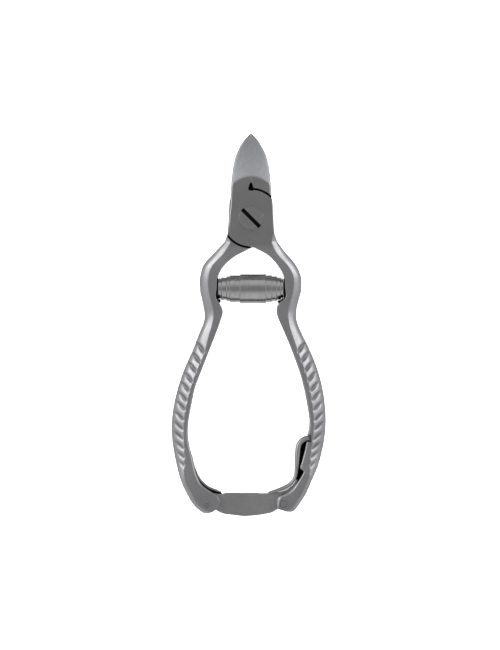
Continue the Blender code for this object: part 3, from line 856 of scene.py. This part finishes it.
@dataclass
class Levers:
    """The two forgings that cross at the joint."""

    # rows of a handle, from the joint to its end, as in Lever.handle
    right: Sequence[Point] = (
        (9.5, -8.4, 1.5, -10.8, 5.4, 2.0), (12.3, -12.1, 6.4, -13.5, 5.2, 3.0), (16.3, -16.8, 10.2, -17.7, 4.5, 3.0),
        (18.3, -21.2, 12.1, -21.4, 4.1, 2.8), (18.5, -25.9, 12.5, -25.6, 3.9, 2.9),
        (17.8, -28.7, 12.6, -28.9, 3.9, 2.9), (17.0, -31.9, 10.2, -31.2, 3.9, 2.9),
        (16.6, -34.6, 9.3, -33.6, 3.8, 3.0), (16.9, -37.9, 10.1, -37.0, 3.8, 3.1),
        (18.4, -41.6, 12.6, -42.6, 3.8, 3.5), (21.1, -47.1, 15.4, -49.7, 3.7, 4.2),
        (23.9, -53.9, 17.9, -56.7, 3.7, 4.5), (25.9, -60.8, 19.5, -62.9, 3.7, 4.6),
        (27.1, -68.0, 20.7, -69.1, 3.7, 4.6), (27.4, -74.5, 21.4, -74.7, 3.7, 4.4),
        (27.0, -80.2, 20.7, -79.4, 3.8, 4.3), (26.0, -85.2, 19.8, -84.3, 4.0, 3.9),
        (24.6, -90.3, 18.6, -88.9, 4.3, 2.8), (23.0, -94.1, 18.0, -91.3, 4.6, 1.6),
        (22.6, -95.0, 19.2, -92.6, 4.7, 1.4), (20.5, -99.9, 16.9, -96.6, 4.9, 1.5),
        (18.6, -103.1, 13.9, -99.6, 4.9, 1.4), (16.5, -106.1, 10.1, -101.4, 4.9, 1.3),
        (15.1, -107.2, 9.3, -103.0, 4.9, 1.2), (13.0, -107.2, 9.3, -104.6, 4.9, 0.9),
        (11.0, -106.6, 9.6, -106.0, 4.9, 0.4))
    left: Sequence[Point] = (
        (9.6, -8.6, 1.6, -11.5, 5.4, 2.0), (13.2, -12.3, 6.9, -14.5, 5.2, 3.0), (17.2, -16.7, 10.8, -18.4, 4.5, 3.1),
        (18.7, -21.4, 12.3, -21.9, 4.1, 3.1), (18.8, -26.1, 12.6, -25.7, 3.9, 3.2),
        (18.2, -28.8, 12.8, -28.9, 3.9, 3.2), (17.5, -32.2, 11.2, -31.5, 3.9, 3.3),
        (17.0, -35.0, 10.3, -34.1, 3.8, 3.3), (17.3, -37.9, 10.9, -36.8, 3.8, 3.4),
        (19.0, -42.0, 12.9, -42.3, 3.8, 3.8), (21.4, -48.2, 15.8, -49.8, 3.7, 4.4),
        (24.3, -54.7, 18.2, -56.0, 3.7, 4.6), (26.5, -61.0, 20.5, -62.1, 3.7, 4.6),
        (28.3, -68.4, 22.0, -69.2, 3.7, 4.6), (29.1, -75.2, 23.0, -75.4, 3.7, 4.5),
        (28.8, -81.9, 22.9, -81.4, 3.9, 4.3), (27.5, -89.1, 21.5, -87.5, 4.3, 3.2),
        (25.7, -95.7, 20.3, -92.8, 4.7, 1.5), (23.4, -100.8, 18.3, -97.1, 4.9, 1.6),
        (21.0, -104.7, 15.2, -99.6, 4.9, 1.4), (18.1, -107.3, 12.2, -101.6, 4.9, 1.3),
        (15.9, -107.8, 11.5, -103.4, 4.9, 1.0), (13.9, -107.3, 12.0, -105.4, 4.9, 0.4))
    right_slot: Sequence[Point] = ((17.6, -90.4), (20.5, -91.6), (17.2, -98.6), (15.6, -102.0), (15.4, -109.0),
                                   (4.0, -109.0), (4.0, -98.0), (14.0, -93.0))
    left_slot: Sequence[Point] = ((-20.6, -85.0), (-22.4, -85.6), (-21.9, -90.0), (-20.4, -94.2), (-19.4, -98.0),
                                  (-19.1, -102.0), (-18.9, -105.0), (-16.8, -109.0), (-4.0, -109.0),
                                  (-4.0, -98.0), (-14.0, -91.0))
    right_shade_ledge: Sequence[Point] = ((22.0, -79.8), (20.0, -80.7), (18.3, -82.0), (17.5, -83.8), (17.1, -86.5),
                                    (16.9, -89.8), (16.7, -93.0), (16.2, -95.2), (17.0, -97.0), (20.0, -95.0),
                                    (22.4, -88.0))
    left_shade_ledge: Sequence[Point] = ((-22.6, -87.0), (-21.3, -88.65), (-20.9, -90.4), (-20.3, -92.1),
                                   (-19.45, -94.05), (-18.5, -95.5), (-17.2, -97.0), (-15.3, -98.45),
                                   (-12.9, -99.5), (-11.4, -100.05), (-10.7, -100.6), (-10.7, -101.6),
                                   (-13.5, -102.5), (-19.0, -99.5), (-22.0, -95.0))
    right_shade_ledge_span: Point = (1.95, 2.45)
    left_shade_ledge_span: Point = (7.2, 8.0)
    right_seat: Sequence[Point] = ((12.05, -21.9), (12.05, -29.5), (11.1, -29.55), (11.0, -29.95), (9.9, -30.0),
                                   (9.8, -30.4), (10.1, -31.1), (12.4, -31.8), (13.4, -28.0), (13.4, -21.9))
    left_seat: Sequence[Point] = ((12.05, -21.9), (12.05, -29.5), (11.3, -29.55), (11.2, -30.1), (11.2, -30.7),
                                  (12.6, -31.0), (13.4, -28.0), (13.4, -21.9))
    tip_notch: Sequence[Point] = ((22.0, -79.1), (22.0, -81.85), (18.0, -81.85), (18.0, -79.1))
    notch_floor: float = 2.5

    def build(self) -> None:
        """Builds both levers and dresses them."""
        steel = FORGED.material()
        dark = PAINTED_SHADE.material()
        front = Lever("front_lever", "front_body", False, self.right, self.right_slot, self.right_shade_ledge,
                      self.right_shade_ledge_span, (*LOCK_PIVOT, LOCK_PIN_RADIUS), self.right_seat, self.tip_notch,
                      self.notch_floor)
        rear = Lever("rear_lever", "rear_body", True, self.left, self.left_slot, self.left_shade_ledge,
                     self.left_shade_ledge_span, (*CATCH_PIN, CATCH_PIN_RADIUS), self.left_seat, cheek_break=-0.2)
        for lever in (front, rear):
            finish_piece(lever.build(steel, dark), lever.body)


# ------------------------------------------------------------------ screw, pegs and pins


@dataclass
class PivotScrew:
    """Slotted screw with a flush head, and a threaded end that is flush with the back."""

    slot_width: float = 1.4
    slot_depth: float = 1.1
    slot_angle: float = -45.0
    slot_reach: float = 12.75   # length of the cutter, which passes right over the head
    slot_corner: float = 0.12
    threads: int = 6
    thread_pitch: float = 0.6
    thread_depth: float = 0.22

    def build(self) -> None:
        """Turns the screw and cuts its slot."""
        top = THICKNESS
        neck = top - SCREW_HEAD_DEPTH
        profile = [(0, top), (SCREW_HEAD - 0.08, top), (SCREW_HEAD - 0.02, top - 0.02), (SCREW_HEAD, top - 0.08),
                   (SCREW_HEAD, neck), (SCREW_SHANK, neck)]
        for index in reversed(range(self.threads)):
            low = (index + 1) * self.thread_pitch
            profile += [(SCREW_SHANK, low + 0.35), (SCREW_SHANK - self.thread_depth, low + 0.05)]
        profile += [(SCREW_SHANK, 0.45), (SCREW_SHANK - 0.35, 0.0), (0.55, 0.0), (0.0, 0.5)]
        steel = Steel("turned_stainless_screw", TURNED, 0.008).material()
        screw = to_object("pivot_screw_finished", lathe(profile, 96), steel, PAINTED_SHADE.material())
        slot = bmesh.new()
        bmesh.ops.create_cube(slot, size=1.0)
        size = Matrix.Diagonal((self.slot_reach * MM, self.slot_width * MM, 2 * self.slot_depth * MM, 1.0))
        moved(slot, at(0, 0, top) @ Matrix.Rotation(math.radians(self.slot_angle), 4, "Z") @ size)
        floor = [edge for edge in slot.edges if max(vertex.co.z for vertex in edge.verts) < top * MM]
        soften(slot, floor, self.slot_corner, 2)
        # The slot's walls and floor get the painted shade.
        cut(screw, slot, 1)
        finish_piece(screw, "rear_body")


@dataclass
class Rivets:
    """Spring pegs and lock pins: turned pieces whose ends are riveted flush."""

    peg_head: float = 2.2       # radius of the head that the spring sits on
    peg_radius: float = 1.5
    peg_reach: float = 9.4      # distances from the middle: of the head's face, its shoulder and the far end
    peg_shoulder: float = 12.05
    peg_end: float = 18.2
    pin_half: float = 4.85      # half a pin's length

    def peg(self, side: int) -> bmesh.types.BMesh:
        """Peg that the spring's end sits on.

        Args:
            side: 1 for the right one, -1 for the left one.

        Returns:
            The peg as a bmesh.
        """
        head, radius, reach, shoulder, end = (self.peg_head, self.peg_radius, self.peg_reach, self.peg_shoulder,
                                              self.peg_end)
        profile = [(0, reach), (head - 0.7, reach), (head - 0.2, reach + 0.2), (head, reach + 0.7),
                   (head, shoulder - 0.15), (head - 0.15, shoulder), (radius, shoulder), (radius, end - 0.2),
                   (radius - 0.2, end - 0.03), (0, end)]
        return moved(lathe(profile, 48), at(0, SPRING_Y, MID) @ Matrix.Rotation(side * math.pi / 2, 4, "Y"))

    def pin(self, centre: Point, radius: float) -> bmesh.types.BMesh:
        """Pin across a handle's end, with lightly domed ends.

        Args:
            centre: its place seen from the front.
            radius: its radius.

        Returns:
            The pin as a bmesh.
        """
        half = self.pin_half
        upper = [(0, half + 0.02), (radius - 0.1, half + 0.02), (radius, half - 0.08)]
        profile = upper + [(reach, -height) for reach, height in reversed(upper)]
        return moved(lathe(profile, 40), at(*centre, MID))

    def build(self) -> None:
        """Builds the four pieces and dresses each with rings about its own middle."""
        pieces = (("spring_peg_right", self.peg(1), "front_body", (0.0, SPRING_Y)),
                  ("spring_peg_left", self.peg(-1), "rear_body", (0.0, SPRING_Y)),
                  ("lock_pivot_pin", self.pin(LOCK_PIVOT, LOCK_PIN_RADIUS), "front_body", LOCK_PIVOT),
                  ("catch_pin", self.pin(CATCH_PIN, CATCH_PIN_RADIUS), "rear_body", CATCH_PIN))
        for name, shape, body, centre in pieces:
            steel = Steel("turned_stainless_" + name, RIVETED, 0.008, (*centre, MID)).material()
            finish_piece(to_object(name + "_finished", shape, steel), body)


# ------------------------------------------------------------------ barrel spring


@dataclass
class BarrelSpring:
    """Flat strip wound into two cones that meet in one wide middle turn, so the turns lie in each other."""

    thickness: float = 0.38
    middle_x: float = -0.1
    # turn by turn from the middle: inner edge, outer edge, outside radius
    right_turns: Sequence[Point] = ((-4.0, 5.6, 5.3), (0.6, 7.8, 4.89), (2.3, 9.6, 4.48), (3.7, 11.0, 4.06),
                                    (4.9, 12.0, 3.64), (5.0, 12.0, 3.22))
    left_turns: Sequence[Point] = ((-5.6, 4.0, 5.3), (0.3, 7.7, 4.89), (1.6, 8.9, 4.48), (3.6, 10.8, 4.06),
                                   (4.9, 12.0, 3.64), (5.0, 12.0, 3.22))
    right_end: float = 4.18     # where the strip ends, in turns from the middle
    left_end: float = -4.72
    shift: Point = (0.3, 0.7)   # the part of each turn in which it moves on to the next one's place
    edge_break: float = 0.15
    steps: int = 72             # to each turn

    def section(self, turn: float) -> list[Point]:
        """Cross-section of the strip.

        Args:
            turn: its place in turns from the middle, where whole numbers are on top.

        Returns:
            The points round it in millimetres.
        """
        side = -1.0 if turn < 0 else 1.0
        count = abs(turn)
        whole = math.floor(count)
        place = whole + smooth_step(count - whole, *self.shift)
        inner, outer, radius = between(self.left_turns if turn < 0 else self.right_turns, place)
        low, high = [end + self.middle_x for end in sorted((side * inner, side * outer))]
        base = radius - self.thickness
        off = self.edge_break
        corners = [(low + off, radius), (high - off, radius), (high, radius - off), (high, base + off),
                   (high - off, base), (low + off, base), (low, base + off), (low, radius - off)]
        angle = math.tau * turn
        return [(x, SPRING_Y - reach * math.sin(angle), MID + reach * math.cos(angle)) for x, reach in corners]

    def build(self) -> None:
        """Winds the strip, which rides on neither lever."""
        count = round((self.right_end - self.left_end) * self.steps)
        rings = [self.section(self.left_end + (self.right_end - self.left_end) * index / count)
                 for index in range(count + 1)]
        spring = finish_piece(to_object("barrel_spring_finished", swept(rings), ROLLED.material()), "")
        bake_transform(spring)


# ------------------------------------------------------------------ handle lock


@dataclass
class Strip:
    """Bent flat strip whose width lies along Z."""

    name: str
    body: str
    line: Sequence[Point]       # middle line and half thickness
    width: float
    corner: float               # rounding of its long edges, as a share of the half thickness
    finish: Steel
    slot: str
    thinnest: float = 0.05      # half thickness that it keeps everywhere

    def build(self) -> None:
        """Sweeps the rounded section along the line."""
        rows = spline(self.line, 8)
        rings = []
        quarter = 5
        for index, row in enumerate(rows):
            before = rows[max(index - 1, 0)]
            after = rows[min(index + 1, len(rows) - 1)]
            side = Vector((before.y - after.y, after.x - before.x)).normalized()
            half = max(row.z, self.thinnest)
            rounding = half * self.corner
            rise = min(1.4 * rounding, self.width / 4)
            top = []
            for step in range(quarter + 1):
                angle = math.pi / 2 * step / quarter
                top.append((half - rounding * (1 - math.cos(angle)),
                            self.width / 2 - rise * (1 - math.sin(angle))))
            outline = top + [(-across, up) for across, up in reversed(top)]
            outline += [(-across, -up) for across, up in top] + [(across, -up) for across, up in reversed(top)]
            rings.append([(row.x + side.x * across, row.y + side.y * across, MID + up) for across, up in outline])
        strip = to_object(self.name + "_finished", swept(rings), self.finish.material())
        finish_piece(strip, self.body)


@dataclass
class HandleLock:
    """Bar across the handle ends with its finger lever, and the leaf spring that holds it down."""

    bar_thickness: float = 2.6
    tail_radius: float = 2.5
    tail_span: Point = (-125, 35)       # the tail's first and last angle
    eye_radius: float = LOCK_PIN_RADIUS + 2 * FIT
    rim_break: float = 0.3
    finger_width: float = 5.6
    leaf_width: float = 2.6
    # the bar's outline in its four stretches, from the tail round by the hook
    bar_ear: Sequence[Point] = ((14.9, -100.9), (15.9, -98.9), (17.0, -96.6), (17.2, -95.6), (16.75, -95.3),
                                (16.2, -96.5), (15.2, -97.9), (13.1, -99.4), (10.6, -100.25))
    bar_top: Sequence[Point] = ((8.6, -100.4), (5.5, -100.6), (3.5, -100.6), (1.6, -100.45), (-7.3, -100.45),
                                (-9.3, -100.5), (-10.2, -100.75), (-11.2, -100.85), (-13.0, -100.6),
                                (-15.2, -100.25), (-17.0, -100.0), (-17.9, -100.15))
    bar_hook: Sequence[Point] = ((-18.5, -100.9), (-18.5, -102.0), (-18.3, -103.3), (-17.2, -103.3), (-17.1, -102.3),
                                 (-16.7, -102.1), (-14.9, -102.1), (-14.5, -102.4), (-14.4, -105.7))
    bar_bottom: Sequence[Point] = ((-12.7, -106.8), (-11.3, -107.6), (-9.5, -108.2), (-5.8, -108.65),
                                   (-2.2, -109.0), (2.6, -108.6), (5.5, -108.1), (7.7, -107.6), (8.9, -106.9),
                                   (9.8, -106.4))
    # middle lines of the two strips, with half the thickness
    finger_line: Sequence[Point] = (
        (21.3, -80.4, 0.8), (19.7, -80.7, 0.95), (18.1, -81.9, 1.0), (17.3, -83.8, 1.0), (17.0, -86.5, 1.0),
        (16.8, -89.8, 0.85), (16.5, -93.0, 0.65), (15.9, -95.2, 0.6), (14.6, -97.0, 0.65), (12.7, -98.3, 0.65),
        (10.4, -99.25, 0.6), (8.8, -99.75, 0.5), (7.4, -100.15, 0.4), (6.2, -100.5, 0.25))
    leaf_line: Sequence[Point] = (
        (-21.8, -86.6, 0.3), (-21.35, -88.65, 0.34), (-20.95, -90.4, 0.34), (-20.3, -92.1, 0.34),
        (-19.45, -94.05, 0.34), (-18.5, -95.55, 0.34), (-17.2, -97.05, 0.34), (-15.3, -98.5, 0.34),
        (-12.9, -99.45, 0.32), (-11.0, -100.12, 0.18))

    def bar(self) -> None:
        """Cuts the bar from plate, drills its eye and breaks its edges."""
        outline = [*arc(self.tail_radius, *self.tail_span, 20, LOCK_PIVOT), *self.bar_ear,
                   *spline(self.bar_top, 4), *self.bar_hook, *spline(self.bar_bottom, 4)]
        half = self.bar_thickness / 2
        shape = prism(outline, MID - half, MID + half)
        rim = [edge for edge in shape.edges if abs(edge.verts[0].co.z - edge.verts[1].co.z) < half * MM]
        soften(shape, rim, self.rim_break)
        bar = to_object("lock_bar_finished", shape, STAMPED.material())
        cut(bar, moved(rod(self.eye_radius, -1, THICKNESS + 1, 40), at(*LOCK_PIVOT, 0)))
        finish_piece(bar, "lock_body")

    def build(self) -> None:
        """Builds bar, finger lever and leaf spring."""
        self.bar()
        Strip("finger_lever", "lock_body", self.finger_line, self.finger_width, 0.75, STAMPED,
              "satin_steel").build()
        leaf_steel = Steel("hardened_leaf_stainless", ROLLED.grain, 0.005)
        Strip("catch_leaf_spring", "rear_body", self.leaf_line, self.leaf_width, 0.5, leaf_steel,
              "spring_steel").build()


# ------------------------------------------------------------------ studio


@dataclass
class Studio:
    """Pale floor that curves up into a pale wall, soft lights and the camera."""

    distance: float = 1320.0
    aim: Point = (-0.37, -39.0, 8.0)
    lens: float = 200.0
    sensor: float = 36.0
    clearance: float = 0.25     # of the floor under the nipper
    floor_profile: Sequence[Point] = ((0, 0), (1500, 0), (1900, 60), (2200, 260), (2380, 600), (2400, 1100),
                                      (2400, 2600))
    # grey of the room against height, from straight below (0) to overhead (1)
    greys: Sequence[Point] = ((0.0, 0.44), (0.40, 0.50), (0.50, 0.54), (0.66, 0.55), (0.84, 0.50), (0.915, 0.45),
                              (0.955, 0.31), (0.98, 0.23), (1.0, 0.21))
    black: float = 0.01         # grey of its dark strips
    paper: bpy.types.Collection = field(default_factory=lambda: bpy.data.collections.new("studio_paper"))

    def cove(self) -> None:
        """Round floor with a curved-up rim, seen by the camera but not mirrored in the steel."""
        shape = lathe([(reach, height - self.clearance) for reach, height in self.floor_profile], 96)
        bmesh.ops.reverse_faces(shape, faces=shape.faces)
        cove = to_object("studio_floor", shape)
        cove.data.shade_smooth()
        material = bpy.data.materials.new("studio_paper")
        material.use_nodes = True
        shader = material.node_tree.nodes["Principled BSDF"]
        for name, value in (("Base Color", linear("#fafafa")), ("Roughness", 1.0), ("Specular IOR Level", 0.0)):
            shader.inputs[name].default_value = value
        cove.data.materials.append(material)
        cove.visible_glossy = False
        cove.visible_shadow = False
        cove.visible_diffuse = False
        self.paper.objects.link(cove)

    def world(self) -> None:
        """Room that the steel mirrors: dark grey overhead, pale at the sides, with two narrow dark strips.

        One is low beyond the jaws, and the other is below the horizon beyond the handles' end.  The spring's turns
        mirror them as its dark upper and lower lines.
        """
        world = bpy.data.worlds.new("studio_room")
        bpy.context.scene.world = world
        world.use_nodes = True
        tree = world.node_tree
        tree.nodes.clear()
        axes = add_node(tree, "SeparateXYZ", None, {0: add_node(tree, "TexCoord").outputs["Generated"]}).outputs
        ramp = add_node(tree, "ValToRGB", {}, {"Fac": add_node(tree, "MapRange", None, {
            "Value": axes[2], "From Min": -1.0, "From Max": 1.0}).outputs[0]})
        elements = ramp.color_ramp.elements
        while len(elements) < len(self.greys):
            elements.new(0.5)
        for element, (place, grey) in zip(elements, self.greys):
            element.position = place
            element.color = (grey, grey, grey * 1.01, 1.0)
        side = add_node(tree, "Math", {"operation": "ABSOLUTE"}, {0: axes[0]}).outputs[0]
        below = add_node(tree, "Math", {"operation": "ADD"}, {0: axes[2], 1: 0.26}).outputs[0]
        below = add_node(tree, "Math", {"operation": "ABSOLUTE"}, {0: below}).outputs[0]
        limits = ((side, 0.55, 0.35), (axes[1], 0.3, 0.6), (axes[2], 0.34, 0.24), (axes[1], -0.3, -0.6),
                  (below, 0.22, 0.12))
        narrow, far, low, near, band = [
            add_node(tree, "MapRange", SMOOTH, {"Value": value, "From Min": none, "From Max": full}).outputs[0]
            for value, none, full in limits]
        front = add_node(tree, "Math", {"operation": "MULTIPLY"}, {0: far, 1: low}).outputs[0]
        both = add_node(tree, "Math", {"operation": "MULTIPLY_ADD"}, {0: near, 1: band, 2: front}).outputs[0]
        dark = add_node(tree, "Math", {"operation": "MULTIPLY"}, {0: both, 1: narrow}).outputs[0]
        colour = add_node(tree, "Mix", COLOURS, {
            "Factor": dark, 6: ramp.outputs["Color"], 7: (self.black, self.black, self.black, 1.0)}).outputs[2]
        background = add_node(tree, "Background", None, {"Color": colour, "Strength": 1.0})
        add_node(tree, "OutputWorld", None, {"Surface": background.outputs[0]})

    def softbox(self, name: str, place: Point, size: Point, power: float, paper_only: bool = False) -> None:
        """Rectangular soft light that faces the nipper.

        Args:
            name: its name.
            place: its place in millimetres.
            size: its two sides in millimetres.
            power: its power in watts.
            paper_only: whether it lights only the floor and the wall.
        """
        light = bpy.data.lights.new(name, "AREA")
        light.shape = "RECTANGLE"
        light.size, light.size_y = size[0] * MM, size[1] * MM
        light.energy = power
        item = bpy.data.objects.new(name, light)
        item.location = Vector(place) * MM
        aim = Vector(self.aim) * MM - item.location
        item.rotation_euler = aim.to_track_quat("-Z", "Y").to_euler()
        item.visible_camera = False
        if paper_only:
            item.light_linking.receiver_collection = self.paper
        bpy.context.scene.collection.objects.link(item)

    def camera(self) -> None:
        """Camera straight above the nipper."""
        data = bpy.data.cameras.new("camera")
        data.type = "PERSP"
        data.lens = self.lens
        data.sensor_width = self.sensor
        data.clip_start = 0.01
        camera = bpy.data.objects.new("camera", data)
        camera.location = (Vector(self.aim) + Vector((0, 0, self.distance))) * MM
        bpy.context.scene.collection.objects.link(camera)
        bpy.context.scene.camera = camera

    def build(self) -> None:
        """Sets up floor, room, lights, camera and the plain view transform."""
        bpy.context.scene.collection.children.link(self.paper)
        self.cove()
        self.world()
        self.softbox("left_softbox", (-445, 130, 480), (165, 440), 0.56)
        self.softbox("right_softbox", (445, 130, 480), (165, 440), 0.50)
        self.softbox("paper_wash", (0, -39, 1600), (2600, 2600), 170.0, paper_only=True)
        self.camera()
        bpy.context.scene.view_settings.view_transform = "Standard"


def main() -> None:
    """Builds the nipper and its studio in order."""
    logging.basicConfig(level=logging.INFO)
    for part in (Studio(), Levers(), PivotScrew(), Rivets(), BarrelSpring(), HandleLock()):
        part.build()
        LOG.info("%s is done", type(part).__name__)


if __name__ == "__main__":
    main()
